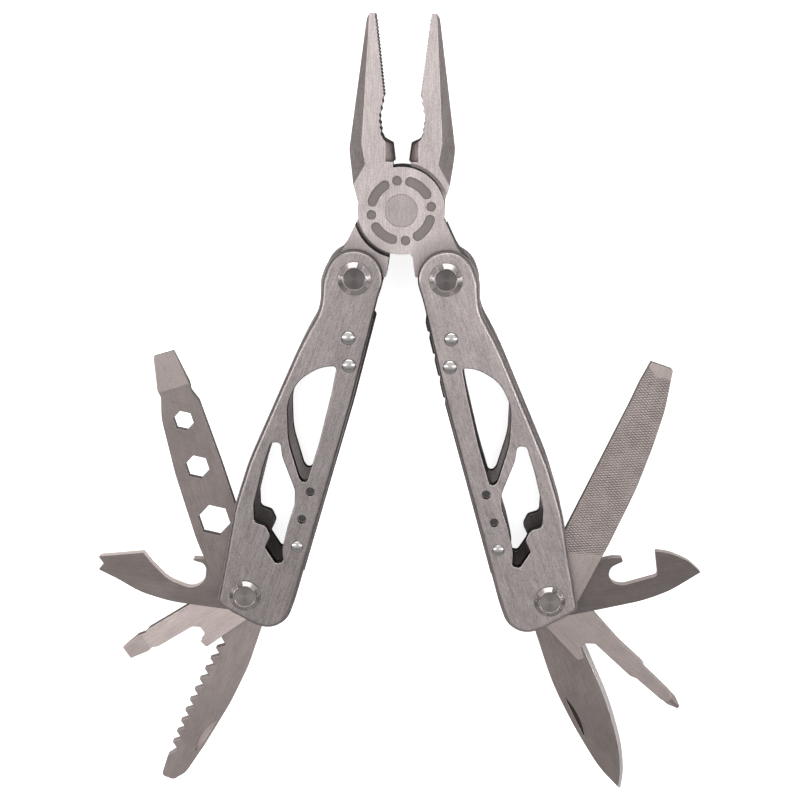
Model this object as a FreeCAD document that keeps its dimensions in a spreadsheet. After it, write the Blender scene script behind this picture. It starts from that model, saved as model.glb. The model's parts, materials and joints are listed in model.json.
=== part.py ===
import FreeCAD, Part
import math
import os

import Sketcher
from FreeCAD import Placement, Rotation, Vector

# A folding pocket multi tool: needle-nose pliers, two folding handles, and four folding tools in each
# handle. It lies flat on the rear heads of its four handle bolts, jaws towards +Y, front face up (+Z).
# The pieces are drawn about the pliers pivot and moved at the end, so that the origin is the middle
# of the footprint. Millimetres and degrees.

DRIVING = {
    # the stack through a handle, from the middle outwards
    "tool_thickness": 2.5,
    "washer_thickness": 0.5,
    "tang_washer": 0.4,
    "side_play": 0.02,
    "liner_thickness": 1.1,
    "scale_thickness": 1.6,
    "head_height": 1.1,
    # handle
    "bolt_spacing": 94.1,
    "handle_angle": 18.6,
    "top_radius": 7.7,
    "liner_lip": 0.35,
    "edge_round": 0.9,
    "cutout_round": 0.3,
    # bolts, rivets and pins
    "bolt_radius": 2.3,
    "bolt_fit": 0.05,
    "head_radius": 4.5,
    "tool_head_radius": 4.3,
    "head_face_radius": 2.9,
    "notch_width": 1.5,
    "dome_radius": 1.95,
    "low_dome_radius": 1.7,
    "rivet_radius": 1.2,
    "pin_radius": 1.0,
    "pin_hole_radius": 1.25,
    "rivet_fit": 0.03,
    # pliers
    "handle_bolt_x": 12.2,
    "handle_bolt_y": 17.8,
    "disc_radius": 11.6,
    "relief_radius": 12.8,
    "lap_gap": 0.06,
    "pivot_head_radius": 4.3,
    "pivot_shank_radius": 3.3,
    "pivot_head_depth": 1.4,
    "pivot_fit": 0.05,
    "tang_eye_radius": 7.2,
    "pit_circle_radius": 8.0,
    "pit_radius": 1.28,
    "pit_depth": 0.5,
    "closing_angle": 7.8,
    "cutter_gap": 0.03,
    "nose_tip": 51.2,
    # tools
    "wrench_tip": 71.0,
    "bottle_tip": 42.8,
    "small_driver_tip": 41.5,
    "saw_tip": 65.5,
    "file_tip": 72.0,
    "can_tip": 42.7,
    "cross_tip": 51.6,
    "knife_tip": 65.6,
    "small_hex": 5.0,
    "middle_hex": 6.0,
    "large_hex": 8.0,
    "tool_eye_radius": 7.1,
    "washer_radius": 5.2,
    "tang_washer_radius": 6.0,
}

doc = FreeCAD.newDocument("MultiTool")
sheet = doc.addObject("Spreadsheet::Sheet", "Sizes")
for row, (alias, number) in enumerate(DRIVING.items(), start=1):
    sheet.set(f"A{row}", alias)
    sheet.set(f"B{row}", str(number))
    sheet.setAlias(f"B{row}", alias)
doc.recompute()


def size(alias):
    """A driving dimension, read back from the spreadsheet."""
    return float(sheet.get(alias))


def half_inside():
    """Half the space between the two liners: four tools, five washers and their play."""
    tools = 4 * size("tool_thickness") + 5 * size("washer_thickness")
    return tools / 2 + 5 * size("side_play")


def liner_face():
    return half_inside() + size("liner_thickness")


def scale_face():
    return liner_face() + size("scale_thickness")


def tool_pitch():
    return size("tool_thickness") + size("washer_thickness") + 2 * size("side_play")


def half_tang():
    """Half the thickness of the pliers, which fit between the liners and two tang washers."""
    return half_inside() - size("tang_washer") - 2 * size("side_play")


HALF_INSIDE = ("(2 * Sizes.tool_thickness + 2.5 * Sizes.washer_thickness"
               " + 5 * Sizes.side_play)")
LINER_FACE = f"({HALF_INSIDE} + Sizes.liner_thickness)"
SCALE_FACE = f"({LINER_FACE} + Sizes.scale_thickness)"
TOOL_PITCH = "Sizes.tool_thickness + Sizes.washer_thickness + 2 * Sizes.side_play"
HALF_TANG = f"({HALF_INSIDE} - Sizes.tang_washer - 2 * Sizes.side_play)"

parts = []


# ---------------------------------------------------------------- drawing helpers


def new_body(label):
    body = doc.addObject("PartDesign::Body", label)
    body.Label = label
    parts.append(body)
    return body


def origin_plane(body, role):
    return [f for f in body.Origin.OriginFeatures if f.Role == role][0]


def new_sketch(body, name, lift="0", role="XY_Plane"):
    sketch = body.newObject("Sketcher::SketchObject", name)
    sketch.AttachmentSupport = (origin_plane(body, role), [""])
    sketch.MapMode = "FlatFace"
    sketch.setExpression("AttachmentOffset.Base.z", lift)
    return sketch


def draw_circle(sketch, radius, x=0.0, y=0.0):
    """A circle whose radius is an expression on the spreadsheet."""
    index = sketch.addGeometry(Part.Circle(Vector(x, y, 0), Vector(0, 0, 1), 1.0))
    number = sketch.addConstraint(Sketcher.Constraint("Radius", index, 1.0))
    sketch.setExpression(f"Constraints[{number}]", radius)


def fair_share(wanted, neighbour, side):
    """How much of a side one rounded corner may use, when the corner beyond wants some too."""
    return min(wanted, max(0.49 * side, 0.98 * side - neighbour))


def draw_outline(sketch, corners):
    """A closed outline through corners (x, y, radius), each rounded as far as its sides allow."""
    points = [Vector(c[0], c[1], 0) for c in corners]
    radii = [c[2] if len(c) > 2 else 0.0 for c in corners]
    count = len(points)
    turns = []
    for i, point in enumerate(points):
        before = points[i - 1] - point
        turns.append(math.pi - before.getAngle(points[(i + 1) % count] - point))
    wanted = [radius * math.tan(turn / 2) for radius, turn in zip(radii, turns)]
    starts, ends, arcs = [], [], []
    for i, point in enumerate(points):
        before = points[i - 1] - point
        after = points[(i + 1) % count] - point
        turn = turns[i]
        reach = min(fair_share(wanted[i], wanted[i - 1], before.Length),
                    fair_share(wanted[i], wanted[(i + 1) % count], after.Length))
        if reach < 0.02:
            starts.append(point)
            ends.append(point)
            arcs.append(None)
            continue
        first = point + before.normalize() * reach
        last = point + after.normalize() * reach
        radius = reach / math.tan(turn / 2)
        inward = (before + after).normalize()
        middle = point + inward * (math.hypot(radius, reach) - radius)
        starts.append(first)
        ends.append(last)
        arcs.append(Part.Arc(first, middle, last))
    shapes = []
    for i in range(count):
        if arcs[i]:
            shapes.append(arcs[i])
        shapes.append(Part.LineSegment(ends[i], starts[(i + 1) % count]))
    sketch.addGeometry(shapes)


def mirrored(corners, hand):
    """The same corners, or their mirror image in Y for hand -1."""
    return [(hand * c[0],) + tuple(c[1:]) for c in corners]


def add_pad(body, sketch, length, midplane=False):
    pad = body.newObject("PartDesign::Pad", sketch.Name + "_pad")
    pad.Profile = sketch
    pad.setExpression("Length", length)
    if midplane:
        pad.Midplane = True
    doc.recompute()
    return pad


def add_pocket(body, sketch, length=None, upward=False, both_ways=False):
    """Cut the sketch out of the body and make sure that it took something away."""
    before = body.Shape.Volume
    pocket = body.newObject("PartDesign::Pocket", sketch.Name + "_pocket")
    pocket.Profile = sketch
    if both_ways:
        pocket.Midplane = True
    if length is None:
        pocket.Type = "ThroughAll"
    else:
        pocket.setExpression("Length", length)
    pocket.Reversed = upward
    doc.recompute()
    if body.Shape.Volume > before - 1e-6:
        raise RuntimeError(f"{body.Label}: {pocket.Name} cut nothing")
    return pocket


def add_loft_cut(body, name, sections):
    """Cut a ruled loft through triangles given as (y, [(x, z), ...]), on planes across Y."""
    sketches = []
    for i, (y, triangle) in enumerate(sections):
        sketch = new_sketch(body, f"{name}_{i}", str(-y), "XZ_Plane")
        draw_outline(sketch, triangle)
        sketches.append(sketch)
    before = body.Shape.Volume
    loft = body.newObject("PartDesign::SubtractiveLoft", name)
    loft.Profile = sketches[0]
    loft.Sections = sketches[1:]
    loft.Ruled = True
    doc.recompute()
    if body.Shape.Volume > before - 1e-6:
        raise RuntimeError(f"{body.Label}: {name} cut nothing")
    return loft


def mirror_to_back(body, features):
    """Repeat features on the other face of a piece that straddles its middle plane."""
    mirror = body.newObject("PartDesign::Mirrored", body.Name + "_mirror")
    mirror.Originals = features
    mirror.MirrorPlane = (origin_plane(body, "XY_Plane"), [""])
    body.Tip = mirror
    doc.recompute()


def edge_names(body, wanted):
    """Names of the body's edges whose middle point passes the test."""
    names = []
    for i, edge in enumerate(body.Shape.Edges, start=1):
        middle = edge.valueAt((edge.FirstParameter + edge.LastParameter) / 2)
        if wanted(edge, middle):
            names.append(f"Edge{i}")
    return names


def round_edges(body, names, radius):
    base = body.Tip
    fillet = body.newObject("PartDesign::Fillet", body.Name + "_round")
    fillet.Base = (base, names)
    fillet.setExpression("Radius", radius)
    doc.recompute()
    return fillet


def revolved(profile, x=0.0, y=0.0):
    """A solid of revolution about the vertical through (x, y), from points (radius, z)."""
    points = [Vector(r, 0, z) for r, z in profile]
    wire = Part.makePolygon(points + points[:1])
    solid = Part.Face(wire).revolve(Vector(0, 0, 0), Vector(0, 0, 1), 360)
    solid.translate(Vector(x, y, 0))
    return solid


def new_group(label, solids):
    """Separate solids of one kind in one node."""
    group = doc.addObject("Part::Feature", label)
    group.Label = label
    group.Shape = Part.makeCompound(solids)
    parts.append(group)
    return group


# ---------------------------------------------------------------- places

UP = Vector(0, 0, 1)
FLIP = Placement(Vector(0, 0, 0), Rotation(Vector(0, 1, 0), 180))


def handle_place(side):
    """Handle frame: origin at the tang bolt, +Y back along the handle. side is 1 left, -1 right."""
    base = Vector(-side * size("handle_bolt_x"), -size("handle_bolt_y"), 0)
    return Placement(base, Rotation(UP, -side * size("handle_angle")))


def tool_bolt_point(side):
    return handle_place(side).multVec(Vector(0, -size("bolt_spacing"), 0))


def tool_place(side, layer, direction):
    """Tool frame: origin on the tool bolt, +Y towards the tip; layer 0 is nearest the front."""
    base = tool_bolt_point(side) + UP * (tool_pitch() * (1.5 - layer))
    return Placement(base, Rotation(UP, direction - 90))


# ---------------------------------------------------------------- pliers


def teeth(start, end, count, depth):
    """Saw-tooth points from start to end: peaks on the line, valleys depth to the left of it."""
    points = []
    for i in range(count):
        for share, inset in ((i, 0.0), (i + 0.5, depth)):
            x = start[0] + (end[0] - start[0]) * share / count
            y = start[1] + (end[1] - start[1]) * share / count
            points.append((x - inset, y))
    return points


def nose_corners():
    """One jaw from the disc to its tip: cutter, pipe grip, fine teeth, tip and outer edge."""
    tip = size("nose_tip")
    slope = math.tan(math.radians(size("closing_angle")))
    cutter = [(-2.3, 9.0), (-2.3, 13.0, 0.3)]
    for y in (13.0, 17.5):
        cutter.append((-slope * y - size("cutter_gap"), y))
    cutter += [(-4.4, 18.3), (-4.9, 18.7)]
    grip = teeth((-5.2, 19.4), (-5.85, 24.2), 3, 0.4)
    grip += teeth((-5.85, 24.2), (-4.75, 30.0), 3, 0.4)
    nose = teeth((-4.7, 30.2), (-7.0, tip - 1.0), 22, 0.3)
    outer = [(-7.3, tip, 0.4), (-8.7, tip, 0.6), (-9.5, tip - 1.4, 2.0)]
    outer += [(-14.05, 15.9, 6.0), (-13.7, 12.6, 6.0), (-12.8, 6.9, 3.0)]
    outer += [(-11.3, 1.5), (-6.0, 0.0)]
    return cutter + grip + nose + outer


def tang_corners():
    """From the disc to the handle bolt, with the small stop step on the inner side."""
    x, y = size("handle_bolt_x"), -size("handle_bolt_y")
    outer = [(7.0, -4.0), (11.2, -1.6), (x + 2.6, y + 8.6, 3.0), (x + 6.7, y + 2.6)]
    eye = [(x, y), (x - 6.2, y - 3.4)]
    step = [(x - 7.0, y - 1.8), (x - 7.0, y), (x - 8.3, y + 0.1, 0.4)]
    inner = [(3.4, -14.4, 3.0), (3.2, -12.3, 1.0), (2.0, -11.0), (0.0, -8.0)]
    return outer + eye + step + inner


def outer_facets(body):
    """The long bevel on the jaw's outer edge, wide in the middle and gone at the disc."""
    top = half_tang()
    tip = size("nose_tip")
    sections = []
    for y, ridge, edge, drop in (
        (tip + 0.3, -8.75, -9.5, 0.9),
        (17.6, -10.6, -14.1, 3.2),
        (12.2, -9.6, -13.7, 3.4),
        (6.6, -12.75, -12.95, 0.2),
    ):
        beyond = ridge + 1.4 * (edge - ridge)
        low = top - 1.4 * drop
        sections.append((y, [(ridge, top), (beyond, low), (beyond, top + 0.3)]))
    return add_loft_cut(body, body.Name + "_facet", sections)


def cutter_bevel(body):
    top = half_tang()
    triangle = [(-4.4, top), (-1.2, top - 4.4), (-1.2, top + 0.3)]
    sections = [(y, triangle) for y in (18.9, 12.9)]
    return add_loft_cut(body, body.Name + "_cutter", sections)


def disc_marks(body):
    """The ring of round pits and curved slots pressed in the disc round the pivot."""
    ring = size("pit_circle_radius")
    half_width = size("pit_radius")
    sketch = new_sketch(body, body.Name + "_marks", HALF_TANG)
    for quarter in range(4):
        middle = math.radians(8.5 + 90 * quarter)
        draw_circle(sketch, "Sizes.pit_radius", ring * math.cos(middle), ring * math.sin(middle))
        centre = middle + math.pi / 4
        reach = math.radians(20)
        inner, outer = ring - half_width, ring + half_width

        def at(radius, angle):
            return Vector(radius * math.cos(angle), radius * math.sin(angle), 0)

        def cap(angle, out):
            start = at(ring, angle)
            along = Vector(-math.sin(angle), math.cos(angle), 0) * (half_width * out)
            return Part.Arc(at(inner, angle), start + along, at(outer, angle))

        low, high = centre - reach, centre + reach
        sketch.addGeometry([
            Part.Arc(at(inner, low), at(inner, centre), at(inner, high)),
            Part.Arc(at(outer, low), at(outer, centre), at(outer, high)),
            cap(low, -1),
            cap(high, 1),
        ])
    add_pocket(body, sketch, "Sizes.pit_depth")


def make_jaw(label, place):
    """Half of the pliers, drawn as the front one: nose upper left, tang lower right."""
    body = new_body(label)
    thickness = f"2 * {HALF_TANG}"
    disc = new_sketch(body, label + "_disc")
    draw_circle(disc, "Sizes.disc_radius")
    add_pad(body, disc, thickness, midplane=True)
    for name, corners in (("nose", nose_corners()), ("tang", tang_corners())):
        sketch = new_sketch(body, f"{label}_{name}")
        draw_outline(sketch, corners)
        add_pad(body, sketch, thickness, midplane=True)
    eye = new_sketch(body, label + "_eye")
    draw_circle(eye, "Sizes.tang_eye_radius", size("handle_bolt_x"), -size("handle_bolt_y"))
    add_pad(body, eye, thickness, midplane=True)
    lap = new_sketch(body, label + "_lap", "Sizes.lap_gap / 2")
    draw_circle(lap, "Sizes.relief_radius")
    add_pocket(body, lap)
    clear_disc = new_sketch(body, label + "_step", "Sizes.lap_gap / 2")
    draw_circle(clear_disc, "Sizes.disc_radius")
    add_pad(body, clear_disc, f"{HALF_TANG} - Sizes.lap_gap / 2")
    facets = outer_facets(body)
    bevel = cutter_bevel(body)
    mirror_to_back(body, [facets, bevel])
    disc_marks(body)
    hole = new_sketch(body, label + "_hole", HALF_TANG)
    draw_circle(hole, "Sizes.pivot_shank_radius + Sizes.pivot_fit")
    add_pocket(body, hole)
    seat = new_sketch(body, label + "_seat", HALF_TANG)
    draw_circle(seat, "Sizes.pivot_head_radius + Sizes.pivot_fit")
    add_pocket(body, seat, "Sizes.pivot_head_depth + Sizes.lap_gap / 2")
    bolt_hole = new_sketch(body, label + "_bolt_hole", HALF_TANG)
    draw_circle(bolt_hole, "Sizes.bolt_radius + Sizes.bolt_fit",
                size("handle_bolt_x"), -size("handle_bolt_y"))
    add_pocket(body, bolt_hole)
    body.Placement = place


def make_pivot_rivet():
    """The flush rivet of the pliers, with a head in each jaw."""
    body = new_body("pliers_pivot_rivet")
    shank = new_sketch(body, "pivot_shank")
    draw_circle(shank, "Sizes.pivot_shank_radius")
    add_pad(body, shank, f"2 * {HALF_TANG}", midplane=True)
    for end, lift in (
        ("front", f"{HALF_TANG} - Sizes.pivot_head_depth"),
        ("rear", f"-{HALF_TANG}"),
    ):
        head = new_sketch(body, "pivot_head_" + end, lift)
        draw_circle(head, "Sizes.pivot_head_radius")
        add_pad(body, head, "Sizes.pivot_head_depth")


# ---------------------------------------------------------------- handles


def handle_corners(top, lip):
    """The side view of a handle plate, lip wider all round than the scale; inner side at +X."""
    foot = -size("bolt_spacing")
    rise = size("top_radius") - 0.3
    inner = size("top_radius") - 0.2
    outline = [(-top, rise, top), (inner, rise, inner), (inner + 0.15, -4.0, 30.0)]
    outline += [(10.0 + lip, -32.0, 120.0), (11.4 + lip, foot + 37.0, 150.0)]
    outline += [(13.2 + lip, foot + 3.0, 40.0), (12.9 + lip, foot - 6.9, 6.5)]
    outline += [(5.0, foot - 7.3, 15.0), (-6.4 - lip, foot - 5.0 - lip, 2.0)]
    outline += [(-8.3 - lip, foot + 9.0, 30.0), (-10.4 - lip, foot + 23.0, 40.0)]
    outline += [(-10.7 - lip, foot + 37.0, 60.0), (-7.7 - lip, -21.3, 90.0)]
    outline += [(-5.7 - lip, -10.6, 14.0), (-top, -3.4, 8.0)]
    return outline


def upper_cutout():
    foot = -size("bolt_spacing")
    right = [(3.2, -24.2, 0.8), (4.2, -31.5, 30.0), (5.5, foot + 48.0, 40.0)]
    low = [(5.9, foot + 35.9, 1.3), (3.6, foot + 36.9, 3.0), (-2.6, foot + 45.8, 20.0)]
    left = [(-6.2, -38.5, 12.0), (-5.4, -31.2, 10.0), (-0.6, -25.5, 14.0)]
    return right + low + left


def lower_cutout():
    foot = -size("bolt_spacing")
    slope = [(-6.9, 43.9, 1.2), (-4.5, 44.9, 1.2), (-2.9, 41.3, 8.0), (3.5, 33.4, 4.0)]
    inner = [(4.7, 29.5, 5.0), (4.8, 23.5, 20.0), (5.5, 16.0, 8.0), (6.9, 12.8, 0.9)]
    hook = [(5.1, 11.7, 1.0), (0.9, 15.1, 0.8), (1.3, 18.7, 1.5), (-0.8, 21.0, 1.5)]
    outer = [(-4.2, 21.0, 1.5), (-5.9, 25.6, 4.0), (-6.8, 36.1, 40.0)]
    return [(x, foot + y, r) for x, y, r in slope + inner + hook + outer]


def dome_points():
    """Where the three dome rivets sit, with the radius of each dome."""
    foot = -size("bolt_spacing")
    large, small = size("dome_radius"), size("low_dome_radius")
    return [(3.6, -15.7, large), (6.2, -22.8, large), (9.1, foot + 18.4, small)]


def pin_points():
    foot = -size("bolt_spacing")
    return [(7.6, foot + 34.4), (7.9, foot + 26.2)]


def plate_holes(sketch, hand, pin_radius):
    foot = -size("bolt_spacing")
    for y in (0.0, foot):
        draw_circle(sketch, "Sizes.bolt_radius + Sizes.bolt_fit", 0.0, y)
    for x, y, _ in dome_points():
        draw_circle(sketch, "Sizes.rivet_radius + Sizes.rivet_fit", hand * x, y)
    for x, y in pin_points():
        draw_circle(sketch, pin_radius, hand * x, y)


def make_plate(label, side, rear, lip, lift, thickness, pin_radius):
    """A scale or a liner; a rear one is a mirrored front one turned over."""
    hand = -side if rear else side
    body = new_body(label)
    sketch = new_sketch(body, label + "_outline", lift)
    top = size("top_radius") + 2 * lip
    for corners in (handle_corners(top, lip), upper_cutout(), lower_cutout()):
        draw_outline(sketch, mirrored(corners, hand))
    plate_holes(sketch, hand, pin_radius)
    add_pad(body, sketch, thickness)
    place = handle_place(side)
    body.Placement = place.multiply(FLIP) if rear else place
    return body


def make_scale(label, side, rear):
    """The thick outer plate, with its outer edge well rounded and its cut-outs eased."""
    body = make_plate(label, side, rear, 0.0, LINER_FACE, "Sizes.scale_thickness",
                      "Sizes.pin_hole_radius")
    place = body.Placement
    body.Placement = Placement()
    doc.recompute()
    face = scale_face()
    foot = -size("bolt_spacing")

    def on_rim(edge, middle, inside):
        on_face = abs(middle.z - face) < 1e-6
        return on_face and not edge.isClosed() and is_cutout(middle, foot) == inside

    for inside, radius in ((False, "Sizes.edge_round"), (True, "Sizes.cutout_round")):
        names = edge_names(body, lambda e, m: on_rim(e, m, inside))
        round_edges(body, names, radius)
    body.Placement = place


def is_cutout(point, foot):
    """True for a point on the rim of a cut-out rather than on the outer rim."""
    return abs(point.x) < 7.1 and foot + 11.0 < point.y < -24.0


def make_liner(label, side, rear):
    make_plate(label, side, rear, size("liner_lip"), HALF_INSIDE, "Sizes.liner_thickness",
               "Sizes.pin_radius + Sizes.rivet_fit")


def spring_face(y):
    """X of the spring's face towards the tools, at a height y above the tool bolt's."""
    foot = -size("bolt_spacing")
    marks = [(-9.0, 2.4), (-24.0, 3.5), (-34.0, 4.6), (foot + 44.0, 5.8), (foot + 11.0, 6.2)]
    for (high, a), (low, b) in zip(marks, marks[1:]):
        if y >= low:
            return a + (b - a) * (high - y) / (high - low)
    return marks[-1][1]


def make_spring(label, side):
    """The back spring between the liners: a spine, four fingers that press on the tools, jimping."""
    body = new_body(label)
    foot = -size("bolt_spacing")
    root, end = foot + 25.0, foot + 11.2
    finger, slit = 1.6, 0.5
    spine = [(spring_face(-9.0), -9.0, 0.6), (8.9, -9.0, 1.0), (10.75, -32.0, 120.0)]
    spine += [(12.0, foot + 37.0, 150.0), (13.3, end + 0.5), (12.0, end, 0.8)]
    inner_x = spring_face(end) + finger + slit
    spine += [(inner_x, end, 0.3), (inner_x, root - 1.0, 0.2), (spring_face(root), root - 1.0)]
    spine += [(spring_face(y), y, 20.0) for y in (foot + 44.0, -34.0, -24.0)]
    sketch = new_sketch(body, label + "_spine")
    draw_outline(sketch, mirrored(spine, side))
    add_pad(body, sketch, f"2 * {HALF_INSIDE}", midplane=True)
    for layer in range(4):
        lift = f"({1.5 - layer}) * ({TOOL_PITCH})"
        press = new_sketch(body, f"{label}_finger_{layer}", lift)
        corners = [(spring_face(root), root), (spring_face(end), end, 0.5)]
        corners += [(spring_face(end) + finger, end, 0.5), (spring_face(root) + finger, root)]
        draw_outline(press, mirrored(corners, side))
        add_pad(body, press, "Sizes.tool_thickness", midplane=True)
    cuts = new_sketch(body, label + "_cuts", HALF_INSIDE)
    for x, y, _ in dome_points():
        draw_circle(cuts, "Sizes.rivet_radius + Sizes.rivet_fit", side * x, y)
    for x, y in pin_points():
        draw_circle(cuts, "Sizes.pin_radius + Sizes.rivet_fit", side * x, y)
    add_pocket(body, cuts)
    jimping = new_sketch(body, label + "_jimping", HALF_INSIDE)
    for i in range(4):
        y = -13.0 - 6.2 * i
        edge_x = 8.9 + (10.75 - 8.9) * (-9.0 - y) / 23.0
        notch = [(edge_x - 0.5, y - 0.5, 0.3), (edge_x - 0.5, y + 0.5, 0.3)]
        notch += [(edge_x + 0.8, y + 1.8), (edge_x + 0.8, y - 1.8)]
        draw_outline(jimping, mirrored(notch, side))
    add_pocket(body, jimping)
    body.Placement = handle_place(side)


# ---------------------------------------------------------------- bolts, rivets, washers


def head_profile(head_radius):
    """Half section of a notched head, from the scale's face up to its turned face."""
    face, base = size("head_face_radius"), scale_face()
    top = base + size("head_height")
    rim = [(head_radius, base), (head_radius, base + 0.25), (face + 0.25, top)]
    return rim + [(face, top), (face - 0.12, top - 0.15), (0.0, top - 0.15)]


def cut_notches(body, head_radius):
    """Four notches round the cone of the head."""
    half = size("notch_width") / 2
    sketch = new_sketch(body, body.Name + "_notch", f"{SCALE_FACE} + 0.2")
    near, far = size("head_face_radius") + 0.1, head_radius + 0.6
    draw_outline(sketch, [(near, -half, 0.4), (far, -half), (far, half), (near, half, 0.4)])
    notch = add_pocket(body, sketch, "Sizes.head_height * 2", upward=True)
    pattern = body.newObject("PartDesign::PolarPattern", body.Name + "_notches")
    pattern.Originals = [notch]
    axis = [f for f in body.Origin.OriginFeatures if f.Role == "Z_Axis"][0]
    pattern.Axis = (axis, [""])
    pattern.Angle = 360
    pattern.Occurrences = 4
    body.Tip = pattern
    doc.recompute()


def make_turned(label, profile, head_radius, place):
    """A turned piece with a notched head; its profile is points (radius, z)."""
    body = new_body(label)
    sketch = new_sketch(body, label + "_profile", "0", "XZ_Plane")
    draw_outline(sketch, profile)
    turn = body.newObject("PartDesign::Revolution", label + "_turn")
    turn.Profile = sketch
    turn.ReferenceAxis = (sketch, ["V_Axis"])
    turn.Angle = 360
    doc.recompute()
    cut_notches(body, head_radius)
    body.Placement = place


def make_bolt(label, side, y, head_radius, spin):
    """Front head and shaft; the shaft's end shows in the rear head."""
    shaft = size("bolt_radius")
    end = -scale_face() - size("head_height") + 0.3
    profile = [(0.0, end), (shaft, end), (shaft, scale_face())] + head_profile(head_radius)
    place = handle_place(side).multiply(Placement(Vector(0, y, 0), Rotation(UP, spin)))
    make_turned(label, profile, head_radius, place)


def make_nut(label, side, y, head_radius, spin):
    """Rear head, screwed on the shaft."""
    bore = size("bolt_radius") + size("rivet_fit")
    rim = head_profile(head_radius)[:-2]
    profile = [(bore, scale_face())] + rim + [(bore, scale_face() + size("head_height"))]
    place = handle_place(side).multiply(Placement(Vector(0, y, 0), Rotation(UP, spin)))
    make_turned(label, profile, head_radius, place.multiply(FLIP))


def make_dome_rivets(label, side):
    """Three rivets through both scales, each with a low dome on both ends."""
    face, shank = scale_face(), size("rivet_radius")
    solids = []
    for x, y, radius in dome_points():
        low = 0.45 * radius
        arc = [(radius * math.cos(math.radians(a)), face + low * math.sin(math.radians(a)))
               for a in range(0, 91, 10)]
        arc[-1] = (0.0, face + low)
        front = [(shank, face)] + arc
        rear = [(r, -z) for r, z in reversed(front)]
        solids.append(revolved(front + rear, side * x, y))
    new_group(label, solids).Placement = handle_place(side)


def make_spring_pins(label, side):
    """Two pins that hold the spring between the liners."""
    half, radius = liner_face(), size("pin_radius")
    solids = []
    for x, y in pin_points():
        profile = [(0.0, -half), (radius, -half), (radius, half), (0.0, half)]
        solids.append(revolved(profile, side * x, y))
    new_group(label, solids).Placement = handle_place(side)


def washer(radius, bottom, thickness, y):
    bore = size("bolt_radius") + size("rivet_fit")
    top = bottom + thickness
    return revolved([(bore, bottom), (radius, bottom), (radius, top), (bore, top)], 0.0, y)


def make_tool_washers(label, side):
    thick = size("washer_thickness")
    solids = []
    for i in range(5):
        bottom = -half_inside() + i * tool_pitch() + (size("side_play") if i else 0.0)
        if i == 4:
            bottom = half_inside() - thick
        solids.append(washer(size("washer_radius"), bottom, thick, -size("bolt_spacing")))
    new_group(label, solids).Placement = handle_place(side)


def make_tang_washers(label, side):
    thick = size("tang_washer")
    bottoms = (-half_inside(), half_inside() - thick)
    radius = size("tang_washer_radius")
    solids = [washer(radius, bottom, thick, 0.0) for bottom in bottoms]
    new_group(label, solids).Placement = handle_place(side)


# ---------------------------------------------------------------- tools


def tool_eye():
    """The round end of a tool about its bolt, as two large rounded corners."""
    eye = size("tool_eye_radius")
    return [(-eye, -eye, eye - 0.1), (eye, -eye, eye - 0.1)]


def make_tool(label, corners, place):
    body = new_body(label)
    sketch = new_sketch(body, label + "_outline")
    draw_outline(sketch, corners)
    draw_circle(sketch, "Sizes.bolt_radius + Sizes.bolt_fit")
    add_pad(body, sketch, "Sizes.tool_thickness", midplane=True)
    body.Placement = place
    return body


def taper_tip(body, start, tip, leave):
    """Grind both faces towards the tip, leaving the given share of the thickness."""
    half = size("tool_thickness") / 2
    sketch = new_sketch(body, body.Name + "_grind", "0", "YZ_Plane")
    for face in (1, -1):
        draw_outline(sketch, [(start, face * half), (tip + 0.6, face * half * leave),
                              (tip + 0.6, face * (half + 0.4))])
    add_pocket(body, sketch, "40", both_ways=True)


def cut_hex(sketch, x, y, across):
    """A hexagon with a corner towards the tip."""
    reach = across / math.sqrt(3)
    angles = [math.radians(90 + 60 * i) for i in range(6)]
    draw_outline(sketch, [(x + reach * math.cos(a), y + reach * math.sin(a)) for a in angles])


def nail_nick(body, start, end, bulge):
    """A lens-shaped nick in the front face, for a fingernail."""
    first, last = Vector(*start, 0), Vector(*end, 0)
    middle = (first + last) / 2
    across = (last - first).cross(UP).normalize()
    sketch = new_sketch(body, body.Name + "_nick", "Sizes.tool_thickness / 2")
    sketch.addGeometry([
        Part.Arc(first, middle + across * (bulge * 0.9), last),
        Part.Arc(first, middle - across * (bulge * 0.1), last),
    ])
    add_pocket(body, sketch, "Sizes.tool_thickness * 0.3")


def make_wrench():
    """Hexagonal openings for three nut sizes and a large flat driver at the tip."""
    tip = size("wrench_tip")
    right = [(2.8, tip - 0.1, 0.4), (4.0, tip - 9.9, 0.8), (3.7, tip - 11.9, 0.8)]
    right += [(4.9, tip - 15.3, 2.0), (5.2, 37.0, 60.0), (5.0, 16.0, 10.0), (7.0, 5.0, 4.0)]
    left = [(-7.3, 3.0, 10.0), (-8.5, 18.0, 60.0), (-8.0, 38.0, 60.0), (-6.5, tip - 17.0, 15.0)]
    left += [(-4.7, tip - 11.4, 1.5), (-5.0, tip - 9.2, 1.0), (-3.3, tip - 1.2, 2.0)]
    outline = [(-2.9, tip, 0.4)] + right + tool_eye()[::-1] + left
    body = make_tool("hex_wrench", outline, tool_place(1, 0, 108))
    holes = new_sketch(body, "wrench_holes", "Sizes.tool_thickness / 2")
    cut_hex(holes, -0.9, tip - 19.4, size("small_hex"))
    cut_hex(holes, -1.5, 38.1, size("middle_hex"))
    cut_hex(holes, -1.9, 22.3, size("large_hex"))
    add_pocket(body, holes)
    taper_tip(body, tip - 10.0, tip, 0.35)


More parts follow.
